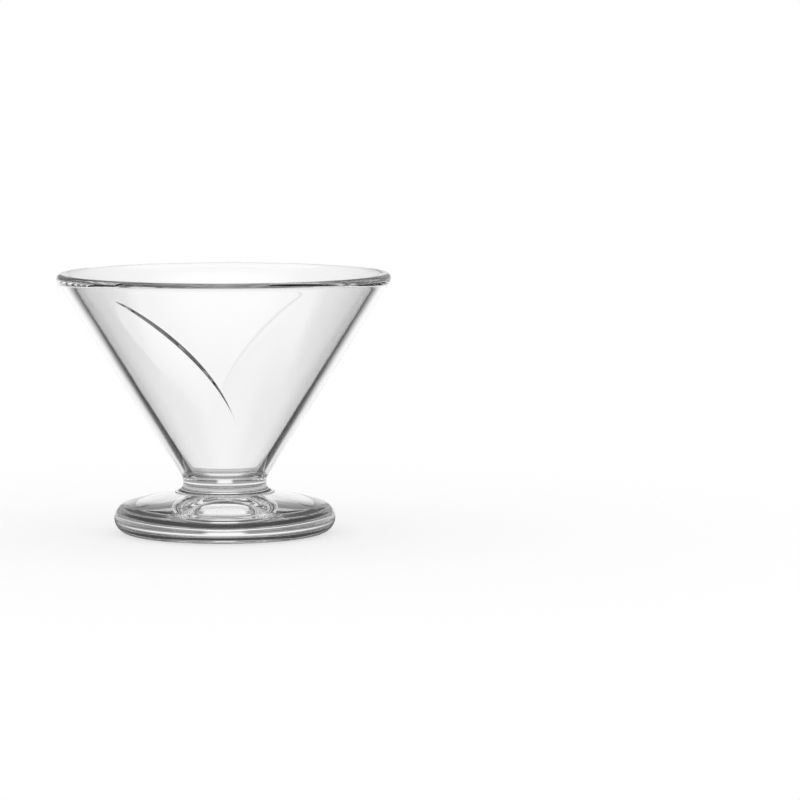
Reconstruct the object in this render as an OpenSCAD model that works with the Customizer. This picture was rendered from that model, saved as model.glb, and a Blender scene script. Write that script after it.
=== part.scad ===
// Footed dessert bowl of clear pressed glass
// A conical cup, a waisted collar and a domed foot, fused hot at two flat joints.
// Millimetres, +Z up, origin at the centre of the ring that the foot stands on.

/* [Bowl] */
// Outside diameter at the lip
rim_d = 110; // [100:1:120]
// Height from the table to the top of the lip
height = 85.8; // [80:0.2:92]
// Half angle of the cone
cone_angle = 32.25; // [31:0.25:34]
// Thickness of the wall, square to its surface
wall = 3.8; // [3.6:0.1:4.5]
// Radius of the rounded lip
lip_r = 1.75; // [1.5:0.05:1.8]
// Radius of the arc that carries the lip over into the inside of the wall
lip_blend = 6; // [5:0.5:10]
// Height of the inside floor
floor_z = 19.6; // [18.5:0.1:22]
// Radius between the inside floor and the wall
floor_fillet = 4; // [2:0.5:6]

/* [Leaves] */
// Number of leaves raised on the inside of the wall
leaf_count = 2; // [1:1:4]
// Height of a leaf's crest above the wall, at its highest
leaf_rise = 1.5; // [0.6:0.1:2]
// Greatest width of a leaf, from its crest to its soft edge
leaf_w = 11.5; // [6:0.5:14]
// Width of the steep bank beyond the crest, at its widest
leaf_bank = 2.4; // [1.6:0.1:3.6]
// Radius of the crest, on the wall laid flat
leaf_arc_r = 59.5; // [50:0.5:70]
// Angle of that arc that the leaf runs along
leaf_sweep = 64; // [40:1:66]
// Direction of the leaf's middle, as seen from the arc's centre
leaf_lean = 40; // [36:1:44]
// Arc's centre on the wall laid flat, sideways and up from the cone's tip
leaf_centre = [-53.9, 25.9];

/* [Collar] */
// Height of the waist
waist_z = 16.5; // [16:0.1:17]
// Height of the joint with the bowl
joint_z = 17.5; // [17.1:0.1:17.8]
// Radius of the sweep from the waist up to the cone
upper_sweep = 6; // [4:0.5:9]
// Radius of the sweep from the waist down to the foot
lower_sweep = 2.7; // [2:0.1:2.8]

/* [Foot] */
// Diameter of the foot
foot_d = 73; // [66:1:80]
// Radius of the bullnose edge
bullnose_r = 5; // [4.5:0.1:5.2]
// Radius of the domed top
dome_r = 115; // [105:5:135]
// Diameter of the hollow in the underside
hollow_d = 56; // [46:1:58]
// Depth of the hollow at its middle
hollow_depth = 2.4; // [1.5:0.1:4]

/* [Hidden] */
$fn = 96;
glass = [0.86, 0.92, 0.92, 0.45];

// Lip circle, and the outer and inner cones that run down from it
lip = [rim_d / 2 - lip_r, height - lip_r];
across = [cos(cone_angle), -sin(cone_angle)];
along = [sin(cone_angle), cos(cone_angle)];
outer_apex = lip.y - (lip.x + lip_r / across.x) / tan(cone_angle);
inner_apex = outer_apex + wall / sin(cone_angle);
function outer_r(z) = (z - outer_apex) * tan(cone_angle);
function inner_r(z) = (z - inner_apex) * tan(cone_angle);

// Arc that is tangent to the lip circle and to the inside of the wall
inward = 180 - cone_angle;
blend_turn = acos((lip_blend - wall + lip_r) / (lip_blend - lip_r));
blend_centre = lip - (lip_blend - lip_r) * [cos(inward - blend_turn), sin(inward - blend_turn)];
lip_end = lip + lip_r * [cos(inward - blend_turn), sin(inward - blend_turn)];
arc_steps = 18;
// Points along an arc, without its last one
function arc(centre, radius, from, to) =
    [for (i = [0 : arc_steps - 1])
        let (angle = from + (to - from) * i / arc_steps)
        centre + radius * [cos(angle), sin(angle)]];

// Centre of the fillet between the floor and the wall
fillet = [inner_r(floor_z + floor_fillet) - floor_fillet / across.x, floor_z + floor_fillet];
fillet_end = fillet + across * floor_fillet;

// Bands of the inside of the wall, from the fillet up to the lip
wall_bands = 20;
blend_start = blend_centre + lip_blend * [cos(inward), sin(inward)];
wall_points = [for (i = [0 : wall_bands - 1]) fillet_end + (blend_start - fillet_end) * i / wall_bands];

// Waist: two arcs that share an upright tangent, with the upper one tangent to the cone
upper_end = [outer_r(waist_z + upper_sweep * along.x), waist_z + upper_sweep * along.x];
upper_arc = upper_end + across * upper_sweep;
waist_r = upper_arc.x - upper_sweep;
lower_arc = [waist_r + lower_sweep, waist_z];

// Dome of the foot, tangent to the bullnose and cut flat where the collar sits
edge = [foot_d / 2 - bullnose_r, bullnose_r];
dome_z = edge.y - sqrt(pow(dome_r - bullnose_r, 2) - pow(edge.x, 2));
seat_r = lower_arc.x;
seat_z = dome_z + sqrt(pow(dome_r, 2) - pow(seat_r, 2));
hollow_r = (pow(hollow_d / 2, 2) + pow(hollow_depth, 2)) / (2 * hollow_depth);

// Sections along a leaf: their number, the first and last place, and how they crowd towards the top
leaf_steps = 24;
leaf_ends = [0.004, 0.99];
leaf_crowd = 1.4;
// Leaf: how wide it is and how high its crest is, from its top tip, 0, to its bottom tip, 1
function width_at(s) = 1.97 * pow(s, 0.42) * pow(1 - s, 0.58);
function crest_at(s) = 3.85 * pow(s, 0.6) * pow(1 - s, 1.8);
// Height across the leaf, from the soft edge, -1, up to the crest, 0, and down to the foot of the bank, 1
function height_at(u) = 1 - abs(u);
leaf_cuts = [-1, -0.8, -0.6, -0.4, -0.2, 0, 1];
// How far the leaf's edges and its root lie inside the glass
edge_sink = 0.12;
root_sink = 1.5;

// Point on the inside of the wall, from a place on the wall laid flat and a height above the glass
function on_wall(p, rise) =
    let (turn = atan2(p.x, p.y) / sin(cone_angle), place = along * norm(p) - across * rise)
    [place.x * sin(turn), -place.x * cos(turn), inner_apex + place.y];

// One section across the leaf: the raised face, then a root inside the wall
function leaf_section(s) =
    let (
        angle = leaf_lean + leaf_sweep * (0.5 - s),
        ray = [cos(angle), sin(angle)],
        wide = leaf_w * width_at(s),
        bank = leaf_bank * crest_at(s) + edge_sink
    )
    concat(
        [for (u = leaf_cuts)
            on_wall(leaf_centre + ray * (leaf_arc_r + u * (u < 0 ? wide : bank)),
                leaf_rise * crest_at(s) * height_at(u) - edge_sink)],
        [on_wall(leaf_centre + ray * (leaf_arc_r + bank), -root_sink),
         on_wall(leaf_centre + ray * (leaf_arc_r - wide), -root_sink)]
    );

// One leaf, rooted in the inside of the wall
module leaf() {
    sides = len(leaf_cuts) + 2;
    sections = [for (i = [0 : leaf_steps])
        leaf_section(leaf_ends[0] + (leaf_ends[1] - leaf_ends[0]) * pow(i / leaf_steps, leaf_crowd))];
    points = [for (section = sections) each section];
    skin = [for (i = [0 : leaf_steps - 1], k = [0 : sides - 1])
        let (a = i * sides + k, b = i * sides + (k + 1) % sides)
        each [[b, a, b + sides], [b + sides, a, a + sides]]];
    last = leaf_steps * sides;
    caps = [for (k = [1 : sides - 2]) each [[0, k, k + 1], [last, last + k + 1, last + k]]];
    polyhedron(points, concat(skin, caps), convexity = 6);
}

// Half section of the space inside the bowl
module cavity_outline() {
    polygon([
        [0, floor_z],
        [fillet.x, floor_z],
        each wall_points,
        each arc(blend_centre, lip_blend, inward, inward - blend_turn),
        lip_end,
        [lip_end.x, height + lip_r],
        [0, height + lip_r]
    ]);
    translate(fillet) circle(floor_fillet);
}

// Half section of the bowl as a solid body, before the cavity is cut
module bowl_outline() {
    difference() {
        polygon([
            [0, joint_z],
            [upper_arc.x, joint_z],
            upper_end,
            each arc(lip, lip_r, -cone_angle, inward - blend_turn),
            lip_end,
            [0, lip_end.y]
        ]);
        translate(upper_arc) circle(upper_sweep);
    }
}

// Conical cup with a rounded lip and leaves raised on its inside
module bowl() {
    color(glass) union() {
        rotate_extrude() difference() {
            bowl_outline();
            cavity_outline();
        }
        for (i = [0 : leaf_count - 1]) rotate(i * 360 / leaf_count) leaf();
    }
}

// Waisted disc between the bowl and the foot
module collar() {
    color(glass) rotate_extrude() difference() {
        translate([0, seat_z]) square([lower_arc.x, joint_z - seat_z]);
        intersection() {
            translate(upper_arc) circle(upper_sweep);
            translate([0, waist_z]) square([upper_arc.x, upper_sweep]);
        }
        intersection() {
            translate(lower_arc) circle(lower_sweep);
            translate([0, waist_z - lower_sweep]) square([lower_arc.x, lower_sweep]);
        }
    }
}

// Thick base with a bullnose edge, a domed top and a hollow underside
module foot() {
    tangent = [edge.x, edge.y - dome_z] / (dome_r - bullnose_r);
    color(glass) rotate_extrude() difference() {
        union() {
            intersection() {
                translate([0, dome_z]) circle(dome_r, $fn = 360);
                polygon([
                    [0, 0],
                    [edge.x, 0],
                    edge,
                    edge + tangent * 2 * bullnose_r,
                    [seat_r, seat_z],
                    [0, seat_z]
                ]);
            }
            translate(edge) circle(bullnose_r);
        }
        translate([0, hollow_depth - hollow_r]) circle(hollow_r, $fn = 360);
    }
}

bowl();
collar();
foot();
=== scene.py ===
import math

import bpy
import numpy as np
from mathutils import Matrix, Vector


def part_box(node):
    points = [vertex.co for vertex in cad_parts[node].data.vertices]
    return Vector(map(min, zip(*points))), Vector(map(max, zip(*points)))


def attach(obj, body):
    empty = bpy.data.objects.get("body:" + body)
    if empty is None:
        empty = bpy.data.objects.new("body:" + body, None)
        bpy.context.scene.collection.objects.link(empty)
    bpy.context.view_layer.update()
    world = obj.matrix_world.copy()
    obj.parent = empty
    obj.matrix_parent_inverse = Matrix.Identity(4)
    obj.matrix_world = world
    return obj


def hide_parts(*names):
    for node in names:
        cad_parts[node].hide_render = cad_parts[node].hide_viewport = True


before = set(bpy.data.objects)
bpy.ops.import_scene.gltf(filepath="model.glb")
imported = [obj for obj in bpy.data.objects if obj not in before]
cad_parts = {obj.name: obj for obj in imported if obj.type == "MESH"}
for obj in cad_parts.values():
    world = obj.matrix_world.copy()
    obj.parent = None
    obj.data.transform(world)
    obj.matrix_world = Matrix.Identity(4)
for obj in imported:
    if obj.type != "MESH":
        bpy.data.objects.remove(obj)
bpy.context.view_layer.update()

mm = 0.001  # the sizes of the pieces are in millimetres and degrees
clearance = 0.01  # keeps the round pieces inside the CAD box
sameSpot = 1e-6  # points this close are one
bowlHigh, collarHigh, footHigh = (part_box(name)[1] for name in ("bowl", "collar", "foot"))


# profile helpers, every point is (radius, height)
def arcRow(centre, radius, start, end, count):
    angles = np.radians(np.linspace(start, end, count))
    return np.stack([centre[0] + radius * np.cos(angles), centre[1] + radius * np.sin(angles)], 1)


def straightRow(start, end, count):
    return np.linspace(start, end, count)


def joinRows(*runs):  # a point that two runs share is kept once
    kept = [runs[0]]
    for run in runs[1:]:
        kept.append(run[1:] if np.allclose(run[0], kept[-1][-1], atol=sameSpot) else run)
    return np.concatenate(kept)


def smoothLeast(a, b, rounding):
    near = np.maximum(rounding - np.abs(a - b), 0) / rounding
    return np.minimum(a, b) - near * near * rounding / 4


def smoothMost(a, b, rounding):
    return -smoothLeast(-a, -b, rounding)


# cone of the bowl, and the waist that the bowl and the collar share
bowlShape = {
    "rimRadius": min(bowlHigh.x, bowlHigh.y) / mm - clearance,
    "height": bowlHigh.z / mm,
    "coneAngle": 32.25,
    "wall": 3.8,
    "lipRound": 1.75,
    "lipBlend": 6.0,
    "floorHeight": 19.6,
    "floorFillet": 4.0,
    "floorStart": 1.0,  # radius of the innermost ring of points on the floor
    "sweepRows": 14,
    "outerRows": 40,
    "lipRows": 24,
    "blendRows": 14,
    "wallRows": 110,
    "filletRows": 16,
    "floorRows": 5,
}
collarShape = {
    "waistHeight": 16.5,
    "upperSweep": 6.0,
    "lowerSweep": 2.7,
    "jointHeight": collarHigh.z / mm,
    "seatRows": 3,
    "lowerRows": 22,
    "upperRows": 6,
}
coneAngle = math.radians(bowlShape["coneAngle"])
across = np.array([math.cos(coneAngle), -math.sin(coneAngle)])
along = np.array([math.sin(coneAngle), math.cos(coneAngle)])
lipRound = bowlShape["lipRound"]
lip = np.array([bowlShape["rimRadius"] - lipRound, bowlShape["height"] - lipRound])
outerApex = lip[1] - (lip[0] + lipRound / across[0]) / math.tan(coneAngle)
innerApex = outerApex + bowlShape["wall"] / math.sin(coneAngle)
upperEndHeight = collarShape["waistHeight"] + collarShape["upperSweep"] * along[0]
upperEnd = np.array([(upperEndHeight - outerApex) * math.tan(coneAngle), upperEndHeight])
upperArc = upperEnd + across * collarShape["upperSweep"]  # tangent to the cone, upright at the waist
waist = upperArc - [collarShape["upperSweep"], 0]
lowerArc = waist + [collarShape["lowerSweep"], 0]
jointRise = (collarShape["jointHeight"] - waist[1]) / collarShape["upperSweep"]
jointStart = 180 - math.degrees(math.asin(jointRise))


# leaves on the inside of the wall
leafShape = {
    "count": 2,
    "rise": 1.5,
    "width": 11.5,
    "bank": 2.4,
    "arcRadius": 59.5,
    "sweep": 64.0,
    "lean": 40.0,
    "centre": (-53.9, 25.9),  # of the crest's arc, on the wall laid flat
    "crestRound": 0.1,  # share of the rise that the crest is rounded over
    "edgeRound": 0.05,
    "widthCurve": (1.97, 0.42, 0.58),  # scale, power from the top tip, power from the bottom tip
    "crestCurve": (3.85, 0.6, 1.8),
    "leastSwell": 1e-4,
    "bankStart": -1.5,  # degrees round the bowl with columns close together
    "bankEnd": 10.5,
    "bankStep": 0.35,
    "openColumns": 140,
}


def leafLineTurn(slant):  # where the crest lies round the bowl, at a distance up the cone
    centre = np.array(leafShape["centre"])
    radius = leafShape["arcRadius"]
    reach = np.hypot(*centre)
    cosine = (slant**2 - reach**2 - radius**2) / (2 * radius * reach)
    angle = math.atan2(centre[1], centre[0]) - np.arccos(np.clip(cosine, -1, 1))
    x = centre[0] + radius * np.cos(angle)
    y = centre[1] + radius * np.sin(angle)
    return np.arctan2(x, y) / math.sin(coneAngle)


def swell(share, scale, topPower, bottomPower):
    return np.maximum(scale * share**topPower * (1 - share) ** bottomPower, leafShape["leastSwell"])


def leafRise(slant, turn):  # how far the leaves stand out of the wall
    total = np.zeros_like(slant * turn)
    for leaf in range(leafShape["count"]):
        own = turn - leaf * 2 * math.pi / leafShape["count"]
        own = (own + math.pi) % (2 * math.pi) - math.pi
        x = slant * np.sin(own * math.sin(coneAngle)) - leafShape["centre"][0]
        y = slant * np.cos(own * math.sin(coneAngle)) - leafShape["centre"][1]
        share = 0.5 - (np.degrees(np.arctan2(y, x)) - leafShape["lean"]) / leafShape["sweep"]
        inside = (share > 0) & (share < 1)
        share = np.clip(share, 0, 1)
        width = leafShape["width"] * swell(share, *leafShape["widthCurve"])
        crest = swell(share, *leafShape["crestCurve"])
        off = np.hypot(x, y) - leafShape["arcRadius"]
        side = np.where(off < 0, off / width, off / (leafShape["bank"] * crest))
        level = smoothLeast(1 + side, 1 - side, leafShape["crestRound"])
        level = smoothMost(level, 0 * level, leafShape["edgeRound"])
        total += np.where(inside, level * crest * leafShape["rise"], 0)
    return total


def columnTurns():  # close together on the bank of each leaf, wider apart between
    sector = 2 * math.pi / leafShape["count"]
    bank = np.radians(np.arange(leafShape["bankStart"], leafShape["bankEnd"], leafShape["bankStep"]))
    between = np.linspace(bank[-1], bank[0] + sector, leafShape["openColumns"])
    one = np.concatenate([bank, between[1:-1]])
    return np.concatenate([one + sector * leaf for leaf in range(leafShape["count"])])


columns = columnTurns()


def solidOfTurning(name, radii, heights, turns, startHeight, endHeight, startJoint, endJoint):
    rows, count = radii.shape  # rows of points carried round the axis, with a pole at each end
    points = np.stack([radii * np.sin(turns), -radii * np.cos(turns), heights], 2).reshape(-1, 3)
    points = np.concatenate([points, [[0, 0, startHeight], [0, 0, endHeight]]]) * mm
    startPole, endPole = rows * count, rows * count + 1
    sides = [(j, (j + 1) % count) for j in range(count)]
    faces = [(startPole, b, a) for a, b in sides]
    for row in range(rows - 1):
        low, high = row * count, (row + 1) * count
        faces += [(low + a, low + b, high + b, high + a) for a, b in sides]
    last = (rows - 1) * count
    faces += [(last + a, last + b, endPole) for a, b in sides]
    mesh = bpy.data.meshes.new(name)
    mesh.from_pydata([tuple(p) for p in points], [], faces)
    kinds = np.zeros(len(faces), int)  # 0 glass, 1 joint
    kinds[:count] = int(startJoint)
    kinds[-count:] = int(endJoint)
    mesh.polygons.foreach_set("material_index", kinds)
    mesh.polygons.foreach_set("use_smooth", kinds == 0)
    mesh.update()
    piece = bpy.data.objects.new(name, mesh)
    bpy.context.scene.collection.objects.link(piece)
    return piece


# bowl
lipBlend = bowlShape["lipBlend"]
floorFillet = bowlShape["floorFillet"]
blendCosine = (lipBlend - bowlShape["wall"] + lipRound) / (lipBlend - lipRound)
insideTurn = 180 - bowlShape["coneAngle"]
blendStart = insideTurn - math.degrees(math.acos(blendCosine))
lipEnd = math.radians(blendStart)
blendCentre = lip - (lipBlend - lipRound) * np.array([math.cos(lipEnd), math.sin(lipEnd)])
outerRows = joinRows(
    arcRow(upperArc, collarShape["upperSweep"], jointStart, insideTurn, bowlShape["sweepRows"]),
    straightRow(upperEnd, lip + across * lipRound, bowlShape["outerRows"]),
    arcRow(lip, lipRound, -bowlShape["coneAngle"], blendStart, bowlShape["lipRows"]),
)
floorBend = bowlShape["floorHeight"] + floorFillet
filletRadius = (floorBend - innerApex) * math.tan(coneAngle) - floorFillet / across[0]
fillet = np.array([filletRadius, floorBend])
wallEnd = fillet + across * floorFillet
floorOuter = np.array([fillet[0], bowlShape["floorHeight"]])
floorInner = np.array([bowlShape["floorStart"], bowlShape["floorHeight"]])
innerRows = joinRows(
    arcRow(blendCentre, lipBlend, blendStart, insideTurn, bowlShape["blendRows"]),
    straightRow(blendCentre - across * lipBlend, wallEnd, bowlShape["wallRows"]),
    arcRow(fillet, floorFillet, -bowlShape["coneAngle"], -90, bowlShape["filletRows"]),
    straightRow(floorOuter, floorInner, bowlShape["floorRows"]),
)[1:]
slant = (innerRows - [0, innerApex]) @ along
lipTurn = leafLineTurn(slant[0])


def carriedRound(rows):  # one profile at every column
    radii, heights = (np.repeat(rows[:, i : i + 1], len(columns), 1) for i in (0, 1))
    return radii, heights, np.broadcast_to(columns[None, :] + lipTurn, radii.shape)


wallSlant = np.maximum(slant, (wallEnd - [0, innerApex]) @ along)
innerTurns = columns[None, :] + leafLineTurn(wallSlant)[:, None]  # columns follow the crest
rise = leafRise(slant[:, None], innerTurns)
innerSkin = (innerRows[:, :1] - rise * across[0], innerRows[:, 1:] - rise * across[1], innerTurns)
bowlSkin = [np.concatenate(pair) for pair in zip(carriedRound(outerRows), innerSkin)]
dessertBowl = solidOfTurning(
    "dessertBowl", *bowlSkin, collarShape["jointHeight"], bowlShape["floorHeight"], True, False
)
print("bowl made,", len(dessertBowl.data.vertices), "points")


# foot
footShape = {
    "radius": min(footHigh.x, footHigh.y) / mm - clearance,
    "bullnose": 5.0,
    "domeRadius": 115.0,
    "hollowRadius": 28.0,
    "hollowDepth": 2.4,
    "hollowRows": 24,
    "ringRows": 6,
    "bullnoseRows": 34,
    "domeRows": 26,
}
bullnose, domeRadius = footShape["bullnose"], footShape["domeRadius"]
footEdge = np.array([footShape["radius"] - bullnose, bullnose])
domeHeight = footEdge[1] - math.sqrt((domeRadius - bullnose) ** 2 - footEdge[0] ** 2)
domeCentre = np.array([0, domeHeight])
seatRadius = lowerArc[0]
seatHeight = domeHeight + math.sqrt(domeRadius**2 - seatRadius**2)
hollowRadius, hollowDepth = footShape["hollowRadius"], footShape["hollowDepth"]
hollowSphere = (hollowRadius**2 + hollowDepth**2) / (2 * hollowDepth)
hollowCentre = np.array([0, hollowDepth - hollowSphere])
hollowAngle = math.degrees(math.asin(hollowRadius / hollowSphere))
hollowStart = 90 - hollowAngle / footShape["hollowRows"]
domeMeets = math.degrees(math.atan2(footEdge[1] - domeHeight, footEdge[0]))
domeSeat = math.degrees(math.atan2(seatHeight - domeHeight, seatRadius))
ringInner, ringOuter = np.array([hollowRadius, 0.0]), np.array([footEdge[0], 0.0])
footRows = joinRows(
    arcRow(hollowCentre, hollowSphere, hollowStart, 90 - hollowAngle, footShape["hollowRows"]),
    straightRow(ringInner, ringOuter, footShape["ringRows"]),
    arcRow(footEdge, bullnose, -90, domeMeets, footShape["bullnoseRows"]),
    arcRow(domeCentre, domeRadius, domeMeets, domeSeat, footShape["domeRows"]),
)
pressedFoot = solidOfTurning(
    "pressedFoot", *carriedRound(footRows), hollowDepth, seatHeight, False, True
)
print("foot made,", len(pressedFoot.data.vertices), "points")


# collar
seatEdge = np.array([seatRadius, seatHeight])
lowerSweep = collarShape["lowerSweep"]
collarRows = joinRows(
    straightRow(seatEdge, lowerArc - [0, lowerSweep], collarShape["seatRows"]),
    arcRow(lowerArc, lowerSweep, 270, 180, collarShape["lowerRows"]),
    arcRow(upperArc, collarShape["upperSweep"], 180, jointStart, collarShape["upperRows"]),
)
joiningCollar = solidOfTurning(
    "joiningCollar", *carriedRound(collarRows), seatHeight, collarShape["jointHeight"], True, True
)
print("collar made,", len(joiningCollar.data.vertices), "points")


# node helpers
def place(tree, kind, **values):
    node = tree.nodes.new(kind)
    for name, value in values.items():
        setattr(node, name, value)
    return node


def feed(tree, socket, value):
    if isinstance(value, bpy.types.NodeSocket):
        tree.links.new(value, socket)
    else:
        socket.default_value = value


def sums(tree, operation, first, second=0.0):
    node = place(tree, "ShaderNodeMath", operation=operation)
    for socket, value in zip(node.inputs, (first, second)):
        feed(tree, socket, value)
    return node.outputs[0]


def product(tree, first, *others):
    for other in others:
        first = sums(tree, "MULTIPLY", first, other)
    return first


def fade(tree, value, start, end, low=0.0, high=1.0):
    node = place(tree, "ShaderNodeMapRange", interpolation_type="SMOOTHSTEP")
    names = ("Value", "From Min", "From Max", "To Min", "To Max")
    for name, given in zip(names, (value, start, end, low, high)):
        feed(tree, node.inputs[name], given)
    return node.outputs["Result"]


def fadeDegrees(tree, angle, start, end, low=0.0, high=1.0):
    return fade(tree, angle, math.radians(start), math.radians(end), low, high)


def mixed(tree, share, first, second):
    node = place(tree, "ShaderNodeMixShader")
    for socket, value in zip(node.inputs, (share, first, second)):
        feed(tree, socket, value)
    return node.outputs[0]


# glass
glassFinish = {
    "tint": (0.990, 0.991, 0.991, 1.0),
    "ior": 1.5,
    "roughness": 0.0,
    "waveScale": 70.0,
    "waveDetail": 1.5,
    "waveStrength": 0.03,
}


def firePolish():
    group = bpy.data.node_groups.new("firePolish", "ShaderNodeTree")
    face = group.interface
    face.new_socket("Scale", in_out="INPUT", socket_type="NodeSocketFloat")
    face.new_socket("Height", in_out="OUTPUT", socket_type="NodeSocketFloat")
    given = place(group, "NodeGroupInput")
    made = place(group, "NodeGroupOutput")
    where = place(group, "ShaderNodeTexCoord")
    waves = place(group, "ShaderNodeTexNoise", noise_dimensions="3D")
    feed(group, waves.inputs["Vector"], where.outputs["Object"])
    feed(group, waves.inputs["Scale"], given.outputs["Scale"])
    waves.inputs["Detail"].default_value = glassFinish["waveDetail"]
    feed(group, made.inputs["Height"], waves.outputs["Fac"])
    return group


def clearGlass(polish):
    material = bpy.data.materials.new("clearGlass")
    material.use_nodes = True
    tree = material.node_tree
    shader = tree.nodes["Principled BSDF"]
    shader.inputs["Base Color"].default_value = glassFinish["tint"]
    shader.inputs["Roughness"].default_value = glassFinish["roughness"]
    shader.inputs["IOR"].default_value = glassFinish["ior"]
    shader.inputs["Transmission Weight"].default_value = 1.0
    waves = place(tree, "ShaderNodeGroup", node_tree=polish)
    waves.inputs["Scale"].default_value = glassFinish["waveScale"]
    bump = place(tree, "ShaderNodeBump")
    bump.inputs["Strength"].default_value = glassFinish["waveStrength"]
    bump.inputs["Distance"].default_value = mm
    feed(tree, bump.inputs["Height"], waves.outputs["Height"])
    feed(tree, shader.inputs["Normal"], bump.outputs["Normal"])
    return material


def fusedJoint():
    material = bpy.data.materials.new("fusedJoint")
    material.use_nodes = True
    shader = material.node_tree.nodes["Principled BSDF"]
    shader.inputs["Base Color"].default_value = glassFinish["tint"]
    shader.inputs["Alpha"].default_value = 0.0  # the glass runs through the joint unbroken
    return material


glass = clearGlass(firePolish())
joint = fusedJoint()
for piece, node in ((dessertBowl, "bowl"), (joiningCollar, "collar"), (pressedFoot, "foot")):
    piece.data.materials.append(glass)
    piece.data.materials.append(joint)
    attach(piece, "root")
    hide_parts(node)
print("glass on all pieces")


# studio: white to the eye, with dark parts that only the glass picks up
studio = {
    "flagInner": 25.0,  # dark flags at both sides, in degrees from straight behind
    "flagOuter": 80.0,
    "flagSoft": 7.0,
    "flagShade": 0.95,
    "flagTop": -6.0,  # they are below the horizon
    "flagFull": -16.0,
    "ceilingStart": 1.0,  # dark band of ceiling, in degrees up
    "ceilingEnd": 4.0,
    "ceilingShade": 0.9,
    "lowerShade": 0.7,  # share of that shade in the band's lower part
    "lowerStart": 16.0,
    "lowerEnd": 22.0,
    "frontShade": 0.85,
    "frontStart": 80.0,
    "frontEnd": 110.0,
    "stripInner": 5.0,  # bright strip behind the bowl
    "stripOuter": 9.0,
    "stripTop": 26.0,
    "stripSoft": 2.0,
    "softboxStart": 46.0,  # bright overhead
    "softboxEnd": 60.0,
    "oneWall": 2.5,  # fewer crossings than this are one thickness of glass
    "floorHalf": 3.0,  # the floor's sizes are in metres
    "floorDrop": 0.0001,
    "floorTone": 0.98,
    "floorGlow": 0.6,  # keeps the shadow near the bowl and white further off
    "glowNear": 0.06,
    "glowFar": 0.35,
    "paintedShadowClear": 0.5,  # painted shadow under and round the foot: a grey glowing floor patch that only the glass sees
    "paintedShadowMiddle": 0.35,
    "paintedShadowEdge": 0.06,
    "paintedShadowFoot": 0.037,
    "paintedShadowNear": 0.045,
    "paintedShadowFar": 0.09,
    "bounces": 32,
}


def glassRay(tree, path):
    return sums(tree, "MAXIMUM", path.outputs["Is Glossy Ray"], path.outputs["Is Transmission Ray"])


def reflectedRay(tree, path):  # 1 once the ray has been reflected in the glass
    return sums(tree, "MINIMUM", path.outputs["Glossy Depth"], 1.0)


def studioWorld():
    world = bpy.data.worlds.new("studioTent")
    bpy.context.scene.world = world
    world.use_nodes = True
    tree = world.node_tree
    tree.nodes.clear()
    towards = place(tree, "ShaderNodeTexCoord")
    split = place(tree, "ShaderNodeSeparateXYZ")
    feed(tree, split.inputs[0], towards.outputs["Generated"])
    x, y, z = split.outputs
    azimuth = sums(tree, "ABSOLUTE", sums(tree, "ARCTAN2", x, y))  # 0 straight behind the bowl
    height = sums(tree, "ARCSINE", z)
    path = place(tree, "ShaderNodeLightPath")
    turned = reflectedRay(tree, path)
    straight = sums(tree, "LESS_THAN", path.outputs["Transmission Depth"], studio["oneWall"])

    soft = studio["flagSoft"]
    inner = fadeDegrees(tree, azimuth, studio["flagInner"] - soft, studio["flagInner"] + soft)
    outer = fadeDegrees(tree, azimuth, studio["flagOuter"] - soft, studio["flagOuter"] + soft, 1.0, 0.0)
    below = fadeDegrees(tree, height, studio["flagFull"], studio["flagTop"], studio["flagShade"], 0.0)
    flags = product(tree, inner, outer, below, turned)

    band = fadeDegrees(tree, height, studio["ceilingStart"], studio["ceilingEnd"])
    softbox = fadeDegrees(tree, height, studio["softboxStart"], studio["softboxEnd"], 1.0, 0.0)
    lower = fadeDegrees(tree, height, studio["lowerStart"], studio["lowerEnd"], studio["lowerShade"], 1.0)
    shades = studio["ceilingShade"], studio["frontShade"]
    shade = fadeDegrees(tree, azimuth, studio["frontStart"], studio["frontEnd"], *shades)
    central = fadeDegrees(tree, azimuth, studio["stripInner"], studio["stripOuter"], 1.0, 0.0)
    stripTop, stripSoft = studio["stripTop"], studio["stripSoft"]
    upright = fadeDegrees(tree, height, stripTop - stripSoft, stripTop + stripSoft, 1.0, 0.0)
    strip = product(tree, central, upright)
    besideStrip = sums(tree, "SUBTRACT", 1.0, strip)
    seen = sums(tree, "MAXIMUM", turned, straight)
    ceiling = product(tree, band, softbox, lower, shade, besideStrip, seen)

    dark = product(tree, sums(tree, "MAXIMUM", flags, ceiling), glassRay(tree, path))
    light = place(tree, "ShaderNodeBackground")
    light.inputs["Color"].default_value = (1.0, 1.0, 1.0, 1.0)
    feed(tree, light.inputs["Strength"], sums(tree, "SUBTRACT", 1.0, dark))
    out = place(tree, "ShaderNodeOutputWorld")
    feed(tree, out.inputs["Surface"], light.outputs[0])


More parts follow.
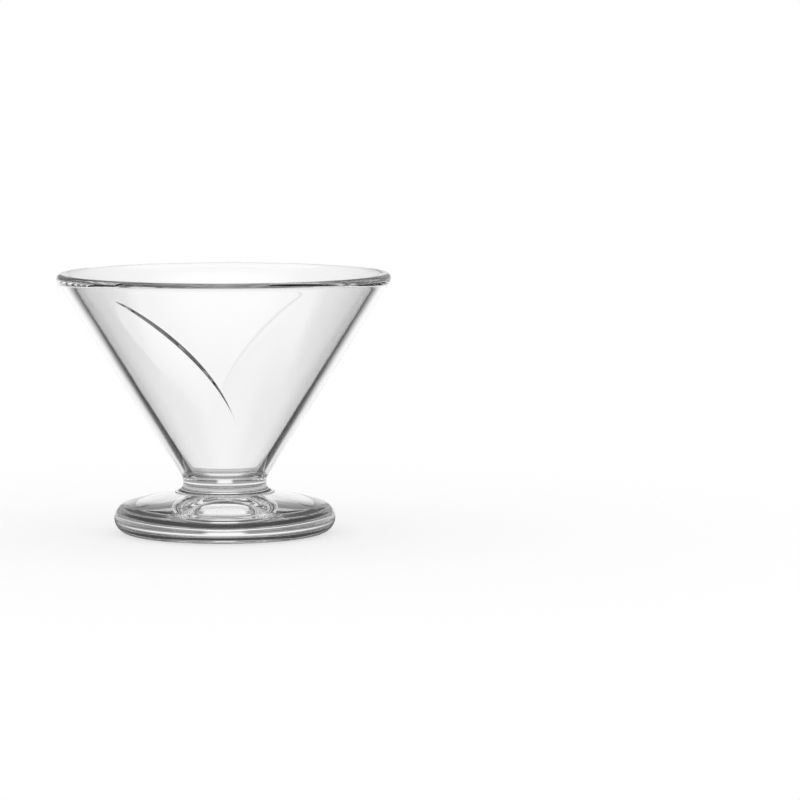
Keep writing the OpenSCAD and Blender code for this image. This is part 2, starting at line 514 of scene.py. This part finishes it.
def studioFloor():
    half = studio["floorHalf"]
    corners = [(-half, -half, 0), (half, -half, 0), (half, half, 0), (-half, half, 0)]
    mesh = bpy.data.meshes.new("studioFloor")
    mesh.from_pydata(corners, [], [(0, 1, 2, 3)])
    floor = bpy.data.objects.new("studioFloor", mesh)
    bpy.context.scene.collection.objects.link(floor)
    floor.location.z = -studio["floorDrop"]  # a hair under the foot
    material = bpy.data.materials.new("paleFloorAndPaintedShadow")
    material.use_nodes = True
    tree = material.node_tree
    tree.nodes.clear()
    path = place(tree, "ShaderNodeLightPath")
    where = place(tree, "ShaderNodeTexCoord")
    length = place(tree, "ShaderNodeVectorMath", operation="LENGTH")
    feed(tree, length.inputs[0], where.outputs["Object"])
    apart = length.outputs["Value"]

    tone = studio["floorTone"]
    matt = place(tree, "ShaderNodeBsdfDiffuse")
    matt.inputs["Color"].default_value = (tone, tone, tone, 1.0)
    glow = place(tree, "ShaderNodeEmission")
    share = fade(tree, apart, studio["glowNear"], studio["glowFar"], studio["floorGlow"], 1.0)
    share = product(tree, share, path.outputs["Is Camera Ray"])
    pale = mixed(tree, share, matt.outputs[0], glow.outputs[0])

    # painted shadow of the foot: a grey glow that only rays through the glass see, 0.35 under the middle
    # and 0.06 from the foot's edge outwards, turning clear further off
    paintedShadowGlow = place(tree, "ShaderNodeEmission")
    under = fade(tree, apart, 0.0, studio["paintedShadowFoot"], studio["paintedShadowMiddle"], studio["paintedShadowEdge"])
    feed(tree, paintedShadowGlow.inputs["Strength"], under)
    gone = place(tree, "ShaderNodeBsdfTransparent").outputs[0]
    clear = product(tree, sums(tree, "SUBTRACT", 1.0, reflectedRay(tree, path)), studio["paintedShadowClear"])
    beyond = fade(tree, apart, studio["paintedShadowNear"], studio["paintedShadowFar"])
    paintedShadowPatch = mixed(tree, sums(tree, "MAXIMUM", clear, beyond), paintedShadowGlow.outputs[0], gone)

    above = mixed(tree, glassRay(tree, path), pale, paintedShadowPatch)
    side = place(tree, "ShaderNodeNewGeometry")
    oneSided = mixed(tree, side.outputs["Backfacing"], above, gone)  # clear from underneath
    out = place(tree, "ShaderNodeOutputMaterial")
    feed(tree, out.inputs["Surface"], oneSided)
    mesh.materials.append(material)


studioWorld()
studioFloor()
print("studio lit")


# camera, at the photograph's angle and framing
cameraPlace = {
    "stand": (0.0, -1.43, 0.1792),
    "aim": (0.0579, 0.0, 0.0435),
    "lens": 195.9,
    "sensor": 36.0,
}
eye = bpy.data.cameras.new("photographView")
eye.lens = cameraPlace["lens"]
eye.sensor_width = cameraPlace["sensor"]
viewer = bpy.data.objects.new("photographView", eye)
viewer.location = cameraPlace["stand"]
gaze = Vector(cameraPlace["aim"]) - Vector(cameraPlace["stand"])
viewer.rotation_euler = gaze.to_track_quat("-Z", "Y").to_euler()
scene = bpy.context.scene
scene.collection.objects.link(viewer)
scene.camera = viewer
scene.view_settings.view_transform = "Standard"
scene.cycles.max_bounces = studio["bounces"]  # light runs a long way inside thick glass
scene.cycles.glossy_bounces = studio["bounces"]
scene.cycles.transmission_bounces = studio["bounces"]
print("camera set")
